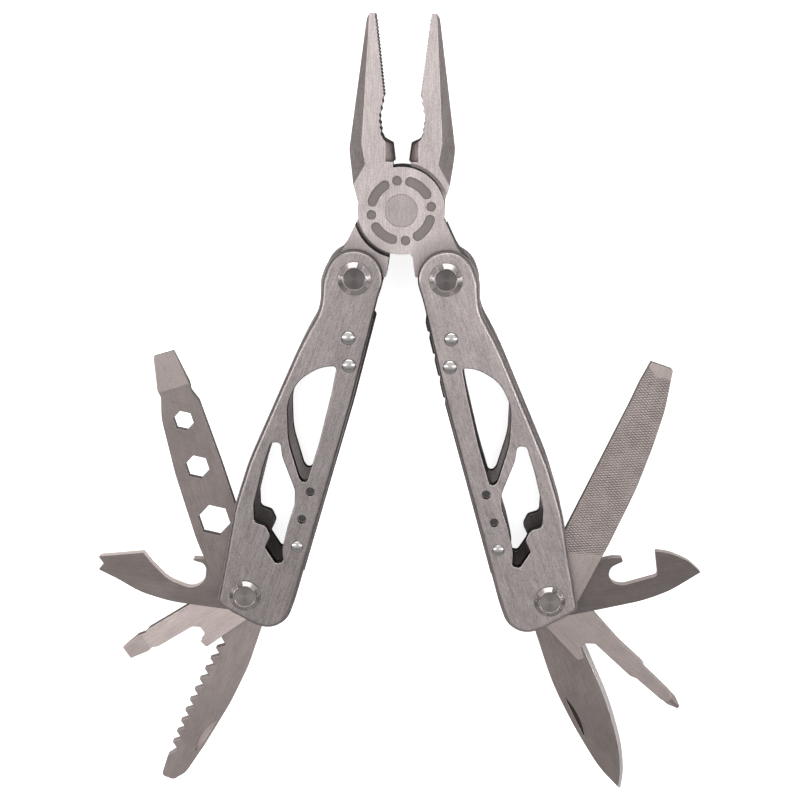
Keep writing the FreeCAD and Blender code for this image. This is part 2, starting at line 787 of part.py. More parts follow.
def make_bottle_opener():
    """Hook for crown caps, with a wire-stripping notch in its end."""
    tip = size("bottle_tip")
    end = [(2.3, tip, 0.2), (0.4, tip - 1.8, 0.3), (-1.5, tip - 0.5, 0.2)]
    left = [(-3.4, tip - 6.3, 25.0), (-6.1, tip - 12.8, 25.0), (-7.5, 21.0, 40.0), (-7.1, 5.0, 10.0)]
    right = [(7.1, 4.0, 5.0), (6.5, 13.0, 2.0), (6.2, 16.3, 0.2), (5.6, 16.2, 0.2)]
    hook = [(5.1, 12.4, 2.2), (-0.3, 12.0, 4.0), (-2.7, 15.8, 4.0), (-1.3, 22.4, 10.0)]
    lip = [(3.0, 27.9, 6.0), (5.5, 30.4, 0.5)]
    outline = end + left + tool_eye() + right + hook + lip
    make_tool("bottle_opener", outline, tool_place(1, 1, 171.5))


def make_small_driver():
    """Small flat driver with a hooked heel."""
    tip = size("small_driver_tip")
    right = [(1.9, tip, 0.3), (2.9, tip - 5.8, 0.8), (2.5, tip - 8.0, 0.8), (3.1, tip - 9.8, 1.0)]
    right += [(3.5, 15.0, 6.0), (7.1, 4.0, 5.0)]
    heel = [(-8.4, 5.0, 6.0), (-9.8, 20.3, 0.4), (-7.5, 20.9, 0.4), (-6.4, 18.5, 1.2)]
    left = [(-3.8, 18.6, 1.2), (-2.5, 20.6, 1.5), (-2.8, tip - 9.4, 1.0)]
    left += [(-2.2, tip - 7.6, 0.8), (-2.6, tip - 6.0, 0.8), (-2.1, tip - 0.2, 0.3)]
    body = make_tool("small_flat_driver", right + tool_eye()[::-1] + heel + left,
                     tool_place(1, 2, 211))
    taper_tip(body, tip - 7.0, tip, 0.35)


def make_saw():
    """Wood saw: eleven teeth on the edge, a nail nick by the back."""
    tip = size("saw_tip")
    count, depth = 11, 2.2
    first, last = (1.7, 19.0), (3.8, tip - 7.5)
    edge = []
    for i in range(count):
        for share, inset in ((i, 0.0), (i + 0.45, depth)):
            x = first[0] + (last[0] - first[0]) * share / count
            y = first[1] + (last[1] - first[1]) * share / count
            bow = 0.9 * math.sin(math.pi * share / count)
            edge.append((x + bow - inset, y, 0.3 if inset else 0.0))
    front = [(3.7, tip - 6.5, 0.3), (3.3, tip, 1.2), (-0.4, tip, 1.5)]
    back = [(-3.0, tip - 3.5, 6.0), (-5.2, tip - 14.0, 40.0), (-7.6, tip - 29.0, 60.0)]
    back += [(-8.5, 24.0, 60.0), (-7.4, 3.0, 8.0)]
    heel = [(7.1, 4.0, 5.0), (3.0, 14.0, 4.0), (1.0, 17.0, 1.0)]
    outline = edge + front + back + tool_eye() + heel
    body = make_tool("wood_saw", outline, tool_place(1, 3, 249))
    nail_nick(body, (-5.8, tip - 22.5), (-3.4, tip - 10.5), 1.7)


def make_file():
    """File with a straight left edge and a bowed right edge."""
    tip = size("file_tip")
    right = [(3.6, tip + 0.3, 0.6), (3.9, tip - 1.0, 1.0), (6.4, tip - 10.9, 40.0)]
    right += [(7.8, tip - 22.0, 60.0), (8.7, 38.0, 60.0), (8.6, 21.5, 60.0), (7.8, 3.4, 10.0)]
    left = [(-7.1, 3.0, 5.0), (-4.2, 15.0, 6.0), (-3.1, tip - 13.0, 60.0), (-3.1, tip - 6.6, 20.0)]
    outline = [(-2.7, tip - 0.2, 0.4)] + right + tool_eye()[::-1] + left
    make_tool("metal_file", outline, tool_place(-1, 0, 67))


def make_can_opener():
    """Beaked can opener with a guide hook behind the blade."""
    tip = size("can_tip")
    edge = [(-0.2, tip, 0.2), (-3.9, tip - 2.9, 8.0), (-7.0, tip - 7.8, 12.0), (-8.1, 31.0, 0.4)]
    mouth = [(-0.9, 30.8, 1.0), (0.5, 21.0, 4.0), (-0.7, 17.4, 3.0), (-5.1, 17.4, 3.0)]
    guide = [(-6.4, 21.8, 0.5), (-7.5, 21.6, 0.5), (-8.0, 19.0, 3.0), (-7.2, 10.0, 8.0)]
    back = [(7.0, 5.0, 5.0), (6.5, 14.0, 40.0), (5.7, 26.0, 40.0), (3.9, tip - 9.0, 30.0)]
    outline = edge + mouth + guide + tool_eye() + back
    make_tool("can_opener", outline, tool_place(-1, 1, 9.5))


def make_cross_driver():
    """Cross-point driver with a hooked heel; four flutes at its point."""
    tip = size("cross_tip")
    left = [(-1.7, tip - 3.0, 0.6), (-2.1, tip - 15.4, 0.8), (-2.8, tip - 17.0, 1.0)]
    left += [(-2.9, 25.0, 20.0), (-4.3, 12.0, 6.0), (-7.1, 4.0, 4.0)]
    heel = [(7.9, 5.0, 6.0), (9.2, 20.5, 0.4), (7.7, 21.4, 0.4), (5.8, 18.5, 1.0)]
    right = [(4.4, 18.3, 1.2), (2.3, 20.6, 1.5), (2.5, tip - 17.0, 1.0)]
    right += [(1.8, tip - 15.2, 0.8), (1.6, tip - 3.0, 0.6), (0.5, tip, 0.2)]
    outline = [(-0.4, tip, 0.2)] + left + tool_eye() + heel + right
    body = make_tool("cross_point_driver", outline, tool_place(-1, 2, 318))
    taper_tip(body, tip - 3.6, tip, 0.2)
    flutes = new_sketch(body, "driver_flutes", "Sizes.tool_thickness / 2")
    for side in (1, -1):
        flute = [(side * 0.35, tip + 0.5), (side * 2.4, tip + 0.5), (side * 2.4, tip - 5.5)]
        flute += [(side * 1.45, tip - 5.5, 0.5), (side * 0.55, tip - 2.5, 1.0)]
        draw_outline(flutes, flute)
    cut = add_pocket(body, flutes, "Sizes.tool_thickness * 0.34")
    mirror_to_back(body, [cut])


def make_knife():
    """Plain knife: straight back that drops to the tip, bevelled cutting edge, nail nick."""
    tip = size("knife_tip")
    back = [(6.6, tip - 22.0, 150.0), (8.3, 28.0, 90.0), (7.6, 12.0, 20.0), (7.1, 3.0, 5.0)]
    edge = [(-4.3, 6.0, 3.0), (-4.3, 17.2, 0.4), (-2.7, 18.6, 0.3), (-4.4, 19.4)]
    edge += [(-5.5, 38.0, 90.0), (-4.4, tip - 13.0, 50.0), (-2.0, tip - 4.6, 25.0)]
    outline = [(0.5, tip), (4.1, tip - 8.6, 40.0)] + back + tool_eye()[::-1] + edge
    body = make_tool("knife_blade", outline, tool_place(-1, 3, 291))
    place = body.Placement
    body.Placement = Placement()
    doc.recompute()
    half = size("tool_thickness") / 2

    def on_cutting_edge(edge, middle):
        flat = abs(abs(middle.z) - half) < 1e-6
        return flat and not edge.isClosed() and middle.y > 19.4 and middle.x < 0.4

    names = edge_names(body, on_cutting_edge)
    flat_blade = body.Tip
    bevel = body.newObject("PartDesign::Chamfer", "knife_bevel")
    bevel.Base = (flat_blade, names)
    bevel.setExpression("Size", "Sizes.tool_thickness * 0.4")
    doc.recompute()
    nail_nick(body, (6.3, tip - 32.6), (5.0, tip - 19.0), -1.2)
    body.Placement = place


# ---------------------------------------------------------------- assembly


def make_handle(name, side, spins):
    """Everything that folds with one handle, apart from its tools."""
    foot = -size("bolt_spacing")
    make_scale(name + "_front_scale", side, rear=False)
    make_liner(name + "_front_liner", side, rear=False)
    make_liner(name + "_rear_liner", side, rear=True)
    make_scale(name + "_rear_scale", side, rear=True)
    make_spring(name + "_back_spring", side)
    make_dome_rivets(name + "_dome_rivets", side)
    make_spring_pins(name + "_spring_pins", side)
    make_tool_washers(name + "_tool_washers", side)
    make_tang_washers(name + "_tang_washers", side)
    for kind, y, alias, spin in (
        ("tang", 0.0, "head_radius", spins[0]),
        ("tool", foot, "tool_head_radius", spins[1]),
    ):
        make_bolt(f"{name}_{kind}_bolt", side, y, size(alias), spin)
        make_nut(f"{name}_{kind}_nut", side, y, size(alias), spin)


def check_document():
    for thing in doc.Objects:
        if "Invalid" in thing.State or "Error" in thing.State:
            raise RuntimeError(f"{thing.Label} failed: {thing.State}")
    for part in parts:
        if part.Shape.isNull() or not part.Shape.isValid():
            raise RuntimeError(f"{part.Label} has no valid shape")


make_jaw("front_jaw", Placement())
make_jaw("rear_jaw", FLIP)
make_pivot_rivet()
make_handle("left", 1, (-6, 40))
make_handle("right", -1, (6, -40))
make_wrench()
make_bottle_opener()
make_small_driver()
make_saw()
make_file()
make_can_opener()
make_cross_driver()
make_knife()
doc.recompute()
check_document()

whole = FreeCAD.BoundBox()
for part in parts:
    whole.add(part.Shape.BoundBox)
to_origin = Vector(-whole.Center.x, -whole.Center.y, -whole.ZMin)
for part in parts:
    place = part.Placement
    place.Base = place.Base + to_origin
    part.Placement = place
doc.recompute()
check_document()

os.makedirs("parts", exist_ok=True)
for part in parts:
    part.Shape.exportStep(f"parts/{part.Label}.step")
print(f"{len(parts)} pieces, {whole.XLength:.1f} x {whole.YLength:.1f} x {whole.ZLength:.1f} mm")
print(f"moved by {to_origin.x:.4f}, {to_origin.y:.4f}, {to_origin.z:.4f}")
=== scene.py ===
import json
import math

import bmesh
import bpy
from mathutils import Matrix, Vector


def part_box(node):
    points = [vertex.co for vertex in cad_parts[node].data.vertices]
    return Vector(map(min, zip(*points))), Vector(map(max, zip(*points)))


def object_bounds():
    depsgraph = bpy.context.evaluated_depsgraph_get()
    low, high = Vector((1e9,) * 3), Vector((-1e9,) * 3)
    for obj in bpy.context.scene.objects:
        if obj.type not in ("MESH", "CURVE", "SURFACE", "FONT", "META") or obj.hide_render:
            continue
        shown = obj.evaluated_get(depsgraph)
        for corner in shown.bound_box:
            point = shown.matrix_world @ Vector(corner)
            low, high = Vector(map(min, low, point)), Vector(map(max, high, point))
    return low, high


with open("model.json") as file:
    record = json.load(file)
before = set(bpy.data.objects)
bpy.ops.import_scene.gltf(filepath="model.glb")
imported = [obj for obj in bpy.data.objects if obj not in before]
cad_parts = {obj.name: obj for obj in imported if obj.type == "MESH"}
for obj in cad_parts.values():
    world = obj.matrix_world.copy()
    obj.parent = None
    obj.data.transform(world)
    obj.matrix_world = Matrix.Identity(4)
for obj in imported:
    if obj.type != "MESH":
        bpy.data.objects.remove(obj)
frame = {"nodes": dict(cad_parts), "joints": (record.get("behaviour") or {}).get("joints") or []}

# %% [markdown]
# # A folding pocket multi tool
# The real tool is a pair of needle-nose pliers between two folding handles, with four small tools on
# each handle. Its 37 pieces come finished from the design frame, so nothing is modelled here. They could
# be remodelled, but the shapes are already exact, and what they lack is a surface. This lesson is
# about light and metal: satin grain, painted shade on side walls, turned bolts and polished domes. The
# box of the object is measured first.

cad_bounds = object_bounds()
MM = 0.001
low, high = (Vector(corner) for corner in cad_bounds)
print("object, mm:", [round(v / MM, 1) for v in high - low])

# %% [markdown]
# ## Where things are
# A handle runs from its tang bolt to its tool bolt, and its grain runs the same way. The positions
# could be typed in, but the hinges of the frame already hold them, and they stay right if the design
# changes.

# %% Read the hinges
hinges = {joint["name"]: joint for joint in frame["joints"]}
pivot = {name: Vector(joint["pos_m"]) for name, joint in hinges.items()}
TOOLS = {
    "left": ("hex_wrench", "bottle_opener", "small_flat_driver", "wood_saw"),
    "right": ("metal_file", "can_opener", "cross_point_driver", "knife_blade"),
}
tang_bolt = {hand: pivot[hand + "_handle_fold"] for hand in TOOLS}
tool_bolt = {hand: pivot[tools[0] + "_fold"] for hand, tools in TOOLS.items()}
pliers_pivot = pivot["pliers_hinge"]
handle_turn = {}
for hand in TOOLS:
    along = tang_bolt[hand] - tool_bolt[hand]
    handle_turn[hand] = math.atan2(-along.x, along.y)
print("handle angles:", {hand: round(math.degrees(a), 1) for hand, a in handle_turn.items()})

# %% [markdown]
# ## The camera
# The camera looks almost straight down. It stands a forearm's length over the tool, a little towards
# the jaws, so the handles are seen slightly from their top ends. Its axes are built by hand from two
# directions, because a track-to would leave the roll open when looking down.

# %% Place the camera
CAMERA_DISTANCE = 469.7 * MM
CAMERA_TILT = math.radians(12.5)
CAMERA_SIDE = 12.9 * MM
CAMERA_ROLL = math.radians(0.57)
LENS = 76.8
CLIP_START = 10 * MM
TARGET_ALONG = 5.8 * MM

target = Vector((0.0, TARGET_ALONG, (low.z + high.z) / 2))
forward_shift = CAMERA_DISTANCE * math.sin(CAMERA_TILT)
height = math.sqrt(CAMERA_DISTANCE ** 2 - forward_shift ** 2 - CAMERA_SIDE ** 2)
camera_data = bpy.data.cameras.new("camera")
camera_data.lens = LENS
camera_data.clip_start = CLIP_START
camera = bpy.data.objects.new("camera", camera_data)
bpy.context.scene.collection.objects.link(camera)
place = target + Vector((CAMERA_SIDE, forward_shift, height))
back = (place - target).normalized()
screen_up = Vector((-math.sin(CAMERA_ROLL), math.cos(CAMERA_ROLL), 0.0))
right = screen_up.cross(back).normalized()
axes = Matrix((right, back.cross(right), back)).transposed()
camera.matrix_world = Matrix.Translation(place) @ axes.to_4x4()
bpy.context.scene.camera = camera
print("camera at, mm:", [round(v / MM) for v in place])

# %% [markdown]
# ## Writing shaders as sums
# Worn steel is a sum of small things: lines, clouds, scratches, bright edges. In the node editor this is
# forty nodes that nobody can read. Here a Wire holds one socket, and adding or multiplying wires adds
# the Math nodes, so a finish reads like a formula. A Finish makes every other node.

# %% Wires and finishes
class Wire:
    """One number flowing in a material."""

    def __init__(self, finish, socket):
        self.finish = finish
        self.socket = socket

    def math(self, operation, other, swapped=False, clamp=False):
        pair = (other, self) if swapped else (self, other)
        settings = {"operation": operation, "use_clamp": clamp}
        return self.finish.node("ShaderNodeMath", settings, dict(enumerate(pair)))

    def __add__(self, other):
        return self.math("ADD", other)

    def __sub__(self, other):
        return self.math("SUBTRACT", other)

    def __rsub__(self, other):
        return self.math("SUBTRACT", other, swapped=True)

    def __mul__(self, other):
        return self.math("MULTIPLY", other)

    def clamp(self):
        """The number kept between 0 and 1."""
        return self.math("ADD", 0.0, clamp=True)

    def size(self):
        """The number without its sign."""
        return self.math("ABSOLUTE", 0.0)

    __radd__ = __add__
    __rmul__ = __mul__

    def ramp(self, start, end, low=0.0, high=1.0):
        """A smooth step from low to high as this number goes from start to end."""
        sockets = {"Value": self, "From Min": start, "From Max": end, "To Min": low, "To Max": high}
        return self.finish.node("ShaderNodeMapRange", {"interpolation_type": "SMOOTHSTEP"}, sockets)


class Finish:
    """A material under construction, with its shader's sockets at hand."""

    def __init__(self, name):
        self.material = bpy.data.materials.new(name)
        self.material.use_nodes = True
        self.tree = self.material.node_tree
        self.shader = self.tree.nodes["Principled BSDF"]

    def plug(self, socket, value):
        if isinstance(value, Wire):
            self.tree.links.new(value.socket, socket)
        elif value is not None:
            socket.default_value = value

    def node(self, kind, settings=None, sockets=None, output=0):
        made = self.tree.nodes.new(kind)
        for key, value in (settings or {}).items():
            setattr(made, key, value)
        for key, value in (sockets or {}).items():
            self.plug(made.inputs[key], value)
        return Wire(self, made.outputs[output])

    def set(self, **sockets):
        for key, value in sockets.items():
            self.plug(self.shader.inputs[key.replace("_", " ")], value)

    def mix(self, factor, first, second):
        """Blend two colours."""
        sockets = {0: factor, 6: first, 7: second}
        return self.node("ShaderNodeMix", {"data_type": "RGBA"}, sockets, output=2)


print("helpers ready:", Wire.__name__, Finish.__name__)

# %% [markdown]
# ## Two more helpers
# One puts a finished bmesh into the scene. The other is the noise that every material starts from. Its
# scale could be set on each node, but it is always read at scale 1, so that its size comes only from the
# coordinates, in real millimetres.

# %% Objects and noise
def new_object(name, mesh_builder):
    """Put a finished bmesh in the scene as an object."""
    mesh = bpy.data.meshes.new(name)
    mesh_builder.to_mesh(mesh)
    mesh_builder.free()
    thing = bpy.data.objects.new(name, mesh)
    bpy.context.scene.collection.objects.link(thing)
    return thing


def noise(finish, vector, detail=4.0, rough=0.6):
    """Cloudy noise around 0.5."""
    sockets = {"Vector": vector, "Scale": 1.0, "Detail": detail, "Roughness": rough}
    return finish.node("ShaderNodeTexNoise", {"normalize": True}, sockets)


print("helpers ready:", new_object.__name__, noise.__name__)

# %% [markdown]
# ## The floor
# The tool lies on plain pale paper. Brighter lamps would make the paper pale, but they would also wash
# out the steel. So the paper glows a little for the camera only, and the steel sees a darker, warmer
# paper that doesn't light it from below.

# %% Lay the floor
FLOOR_SIDE = 4.0
FLOOR_GLOW = 0.80
PAPER_IN_STEEL = (0.30, 0.29, 0.28, 1.0)
PAPER_IN_CAMERA = (0.72, 0.72, 0.72, 1.0)
BLACK, WHITE = (0, 0, 0, 1), (1, 1, 1, 1)

floor_mesh = bmesh.new()
bmesh.ops.create_grid(floor_mesh, x_segments=1, y_segments=1, size=FLOOR_SIDE / 2)
floor = new_object("floor", floor_mesh)
floor.location.z = low.z
paper = Finish("floor_paper")
seen = paper.node("ShaderNodeLightPath", output="Is Camera Ray")
mottle = noise(paper, paper.node("ShaderNodeTexCoord", output="Object"), 2.0)
paper.set(Base_Color=paper.mix(seen, PAPER_IN_STEEL, PAPER_IN_CAMERA),
          Roughness=0.85 + mottle * 0.1, Emission_Color=paper.mix(seen, BLACK, WHITE))
paper.shader.inputs["Specular IOR Level"].default_value = 0.0
paper.shader.inputs["Emission Strength"].default_value = FLOOR_GLOW
floor.data.materials.append(paper.material)
print("floor at z", round(low.z, 4))

# %% [markdown]
# ## Lamps
# Satin metal shows what surrounds it, so lamps matter less here than the sky does. The two wide boxes
# light the paper and are hidden from the metal. The narrow strips and the far box are seen in it, as
# streaks along edges and domes. One ring of lamps would be simpler, but even light turns steel into
# grey plastic.

# %% Hang the lights
def soft_box(name, position, size, power, seen_in_metal):
    """A rectangular lamp that faces the tool."""
    lamp = bpy.data.lights.new(name, "AREA")
    lamp.shape = "RECTANGLE"
    lamp.size, lamp.size_y = size
    lamp.energy = power
    thing = bpy.data.objects.new(name, lamp)
    bpy.context.scene.collection.objects.link(thing)
    thing.location = position
    thing.rotation_euler = position.to_track_quat("Z", "Y").to_euler()
    thing.visible_glossy = seen_in_metal


for side in (-1, 1):
    soft_box(f"floor_box_{side}", Vector((side * 0.8, 0.1, 0.6)), (0.7, 0.9), 4.0, False)
    soft_box(f"edge_strip_{side}", Vector((side * 0.55, 0.0, 0.62)), (0.07, 0.8), 1.3, True)
soft_box("far_box", Vector((0.0, 0.85, 0.62)), (1.1, 0.3), 3.5, True)

# %% [markdown]
# ## The sky
# The flat faces look straight up and mirror the ceiling: it is bright over the jaws and falls off
# towards the handle ends. Near the horizon the room is dim, which keeps the ground facets of the jaws
# and the side walls dark. A second patch, low behind the handle ends, is only mirrored in views from
# behind the jaws. White cards round the tool could do this, but smooth steps have no edges to show up
# in the metal. Each patch is one step along the tool times one step upwards, and the patches are added.
# The camera itself sees plain white behind the floor, so that a low view has no dark horizon.

# %% Paint the sky
SKY_ALONG = {"From Min": -0.62, "From Max": 0.05, "To Min": 0.34, "To Max": 1.12}
SKY_UP = {"From Min": 0.15, "From Max": 0.80, "To Min": 0.24, "To Max": 1.0}
SKY_COLOUR = (1.0, 0.968, 0.968, 1.0)
LOW_ALONG = {"From Min": -0.40, "From Max": -0.75, "To Min": 0.0, "To Max": 0.42}
LOW_UP = {"From Min": 0.70, "From Max": 0.40, "To Min": 0.0, "To Max": 1.0}
world = bpy.data.worlds.new("ceiling")
bpy.context.scene.world = world
world.use_nodes = True
sky = world.node_tree
direction = sky.nodes.new("ShaderNodeTexCoord")
split = sky.nodes.new("ShaderNodeSeparateXYZ")
sky.links.new(direction.outputs["Generated"], split.inputs[0])


def sky_patch(along, up):
    """One part of the sky: a smooth step along the tool times a smooth step upwards."""
    patch = sky.nodes.new("ShaderNodeMath")
    patch.operation = "MULTIPLY"
    for slot, (axis, limits) in enumerate((("Y", along), ("Z", up))):
        falloff = sky.nodes.new("ShaderNodeMapRange")
        falloff.interpolation_type = "SMOOTHSTEP"
        for socket, amount in limits.items():
            falloff.inputs[socket].default_value = amount
        sky.links.new(split.outputs[axis], falloff.inputs["Value"])
        sky.links.new(falloff.outputs["Result"], patch.inputs[slot])
    return patch.outputs[0]


strength = sky.nodes.new("ShaderNodeMath")
strength.operation = "ADD"
sky.links.new(sky_patch(SKY_ALONG, SKY_UP), strength.inputs[0])
sky.links.new(sky_patch(LOW_ALONG, LOW_UP), strength.inputs[1])
background = sky.nodes["Background"]
background.inputs["Color"].default_value = SKY_COLOUR
background_light = sky.nodes.new("ShaderNodeMix")
background_light.inputs["B"].default_value = 1.0
light_path = sky.nodes.new("ShaderNodeLightPath")
sky.links.new(light_path.outputs["Is Camera Ray"], background_light.inputs["Factor"])
sky.links.new(strength.outputs[0], background_light.inputs["A"])
sky.links.new(background_light.outputs["Result"], background.inputs["Strength"])
bpy.context.scene.view_settings.view_transform = "Standard"
print("sky strength along the tool:", SKY_ALONG["To Min"], "to", SKY_ALONG["To Max"])

# %% [markdown]
# ## Grain, walls and edges
# A sanding belt leaves fine lines all one way. A picture of brushed metal could be wrapped on the
# plates, but it would stretch and repeat. Here the grain is noise in coordinates that turn with each
# piece and are stretched along it. Two masks go with it: one for side walls, which get a painted shade
# where they are dark and a painted highlight where they are pale, and one for edges, which pockets and
# hands wear bright.

# %% Masks of the surface
def grain_space(finish, centre, turn, across, along):
    """Object coordinates turned with the piece and stretched along its grain."""
    place = finish.node("ShaderNodeTexCoord", output="Object")
    sockets = {
        "Vector": place,
        "Location": centre,
        "Rotation": (0.0, 0.0, turn),
        "Scale": (across, along, across),
    }
    return finish.node("ShaderNodeMapping", {"vector_type": "TEXTURE"}, sockets)


def facing_up(finish):
    """1 on faces that look up or down, 0 on side walls."""
    normal = finish.node("ShaderNodeTexCoord", output="Normal")
    upward = finish.node("ShaderNodeSeparateXYZ", None, {0: normal}, output="Z")
    return upward.size()


EDGE_WIDTH = 0.2 * MM


def worn_edges(finish):
    """A rounded normal, and a mask of how far it leans away from the true one."""
    rounded = finish.node("ShaderNodeBevel", {"samples": 6}, {"Radius": EDGE_WIDTH})
    true_normal = finish.node("ShaderNodeNewGeometry", output="Normal")
    sockets = {0: rounded, 1: true_normal}
    same = finish.node("ShaderNodeVectorMath", {"operation": "DOT_PRODUCT"}, sockets, output=1)
    return rounded, (1.0 - same).ramp(0.01, 0.25)


print("edge width, mm:", EDGE_WIDTH / MM)

# %% [markdown]
# ## Satin steel
# The lines, a speckle and soft clouds change the colour and the roughness a little, and a very low bump
# catches the light. Real grooves would need millions of faces, and a bump of a few hundredths of a
# millimetre looks the same from an arm's length. Side walls get a painted tone, dark and dull as painted
# shade, and a few scuffs cross the grain. All the steels of the tool are this one recipe with other
# tones.

# %% Satin steel
PLAIN_HUE = (1.06, 0.965, 0.95)
WARM_HUE = (1.08, 0.948, 0.902)
GROUND_SHEEN_COLOUR = (0.98, 0.96, 0.95, 1.0)
# Marks of the finish: width and length in mm, detail, roughness of the noise, extra turn.
MARKS = {
    "fine": (0.17, 2.2, 2.0, 0.6, 0.0),
    "broad": (0.42, 9.0, 2.0, 0.6, 0.0),
    "cloud": (5.0, 9.0, 3.0, 0.6, 0.0),
    "speckle": (0.28, 0.42, 2.0, 0.6, 0.0),
    "scuffs": (0.22, 2.2, 1.0, 0.5, 1.1),
    "spots": (0.5, 0.5, 2.0, 0.5, 0.0),
    "patches": (9.0, 9.0, 1.0, 0.5, 0.0),
}


def tint(tone, share, hue=PLAIN_HUE):
    """The warm grey of the steel, lighter or darker than its tone."""
    return tuple(min(1.0, tone * share * part) for part in hue) + (1.0,)


def satin_steel(name, tone, centre, turn, rough=0.36, painted_wall_tone=0.08, grain=1.6, painted_hollows=None,
                depth=0.62, ground_sheen=0.0, wall_shine=1.0, hue=PLAIN_HUE):
    """Steel with belt lines along one direction; tone is its brightness.

    The mask function marks what is cut or stamped into the face, and on the jaws a painted shade near
    the tang bolts; there the tone takes the depth share, which is painted shade, or painted light when
    it is over 1. A steep bevel is brightened: partly its real finish from grinding, partly a painted
    highlight.
    Side walls take their own tone, painted shade when dark and a painted highlight when pale; a
    wall_shine under 1 makes them dull and less metallic."""
    finish = Finish(name)
    mark = {}
    for kind, (width, length, detail, noise_rough, extra) in MARKS.items():
        space = grain_space(finish, centre, turn + extra, width * MM, length * MM)
        mark[kind] = noise(finish, space, detail, noise_rough)
    lines = mark["fine"] * 0.55 + mark["broad"] * 0.45
    level = (lines - 0.5) * grain + (mark["cloud"] - 0.5) * 0.55 + 0.5
    level = level + (mark["speckle"] - 0.5) * (grain * 0.7)
    colour = finish.mix(level.clamp(), tint(tone, 0.66, hue), tint(tone, 1.34, hue))
    rounded, wear = worn_edges(finish)
    colour = finish.mix(wear * 0.5, colour, tint(0.3 + 0.7 * tone, 1.0, hue))
    steep = facing_up(finish)
    # Steep bevels are brightened: partly their real finish from grinding, partly a painted highlight.
    if ground_sheen:
        bevel = steep.ramp(0.97, 0.93) * steep.ramp(0.3, 0.5) * ground_sheen
        colour = finish.mix(bevel, colour, GROUND_SHEEN_COLOUR)
    # Side walls take their own tone: painted shade where it is dark, a painted highlight where it is
    # pale.
    colour = finish.mix(steep.ramp(0.15, 0.55), tint(painted_wall_tone, 1.0, hue), colour)
    scuff = mark["scuffs"].ramp(0.69, 0.75) * mark["patches"].ramp(0.52, 0.6)
    scuff = scuff + mark["spots"].ramp(0.76, 0.80) * 0.6
    colour = finish.mix(scuff.clamp() * 0.5, colour, tint(tone, 0.45, hue))
    roughness = rough + (lines - 0.5) * 0.25 + (mark["cloud"] - 0.5) * 0.12
    roughness = roughness - wear * 0.06 + scuff * 0.1
    if ground_sheen:
        roughness = roughness + bevel * 0.12
    sockets = {"Strength": 0.5, "Distance": 0.02 * MM, "Height": lines, "Normal": rounded}
    normal = finish.node("ShaderNodeBump", None, sockets)
    # Hollows take a share of the tone: painted shade under 1, painted light over 1; on the jaws the mask
    # also carries painted shade on the tangs near their bolts.
    if painted_hollows:
        hollow_paint = painted_hollows(finish)
        colour = finish.mix(hollow_paint, colour, tint(tone, depth, hue))
        sockets = {"Strength": 0.8, "Distance": 0.12 * MM, "Height": 1.0 - hollow_paint, "Normal": normal}
        normal = finish.node("ShaderNodeBump", None, sockets)
        roughness = roughness + hollow_paint * 0.15
    shine = steep.ramp(0.15, 0.55, wall_shine, 1.0) if wall_shine < 1.0 else 1.0
    finish.set(Base_Color=colour, Metallic=shine, Roughness=roughness, Normal=normal)
    finish.shader.inputs["Anisotropic"].default_value = 0.3
    return finish.material


print("marks in the steel:", ", ".join(MARKS))

# %% [markdown]
# ## Dressing the handles
# The outer plates are bright and the liners duller. The liners' darker tone and the nearly black springs
# are painted shade inside the handles. Each hand has its own plate steel, because the two handles lie at
# different angles and their grain turns with them; the left plates also get a darker tone, as painted
# shade. A finish goes into the slots of the frame's own nodes, which keep their shape.

# %% Plates, liners and springs
def dress(node, material):
    """Give a frame node its finish."""
    slots = frame["nodes"][node].data.materials
    slots.clear()
    slots.append(material)


# The left plates get a darker tone of the same steel than the right ones: painted shade.
PLATE_TONE_LIT_AND_SHADED = {"left": 0.305, "right": 0.375}
# The liners' darker tone and the springs' near black are painted shade inside the handles.
LINER_SHADED_TONE, SPRING_SHADED_TONE = 0.26, 0.06
for hand, turn in handle_turn.items():
    centre = tool_bolt[hand]
    plate = satin_steel(hand + "_plate_steel", PLATE_TONE_LIT_AND_SHADED[hand], centre, turn, grain=2.2)
    liner = satin_steel(hand + "_liner_shaded_steel", LINER_SHADED_TONE, centre, turn, rough=0.42, painted_wall_tone=0.02)
    spring = satin_steel(hand + "_spring_shaded_steel", SPRING_SHADED_TONE, centre, turn, rough=0.45, painted_wall_tone=0.02)
    for face in ("front", "rear"):
        dress(f"{hand}_{face}_scale", plate)
        dress(f"{hand}_{face}_liner", liner)
    dress(hand + "_back_spring", spring)
print("plates, liners and springs dressed for", ", ".join(handle_turn))

# %% [markdown]
# ## The jaws
# The jaws have the same satin, brighter. Round the pivot lies a ring of shallow etched marks, which are
# darkened. They could be painted face by face, but a mask finds them: near the pivot, and a little under
# the face. The tangs get a painted shade round their bolts, under the ends of the handles.

# %% Jaw steel
def flat_offset(finish, place, centre):
    """The way from an upright axis to this point, and its length across that axis."""
    sockets = {0: place, 1: (centre.x, centre.y, 0.0)}
    offset = finish.node("ShaderNodeVectorMath", {"operation": "SUBTRACT"}, sockets)
    flat = finish.node("ShaderNodeVectorMath", {"operation": "MULTIPLY"},
                       {0: offset, 1: (1.0, 1.0, 0.0)})
    return flat, finish.node("ShaderNodeVectorMath", {"operation": "LENGTH"}, {0: flat}, output=1)


JAW_TONE, RIVET_TONE = 0.50, 0.385
PIT_RING = 9.8 * MM
# Painted shade on the tangs near their bolts: where it starts, where it is full, and its share.
BOLT_SHADE_START, BOLT_SHADE_END = 13.5 * MM, 8.5 * MM
BOLT_SHADE_SHARE = 0.55
jaw_faces = [corner[2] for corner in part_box("front_jaw")]
jaw_middle, jaw_half = sum(jaw_faces) / 2, (jaw_faces[1] - jaw_faces[0]) / 2


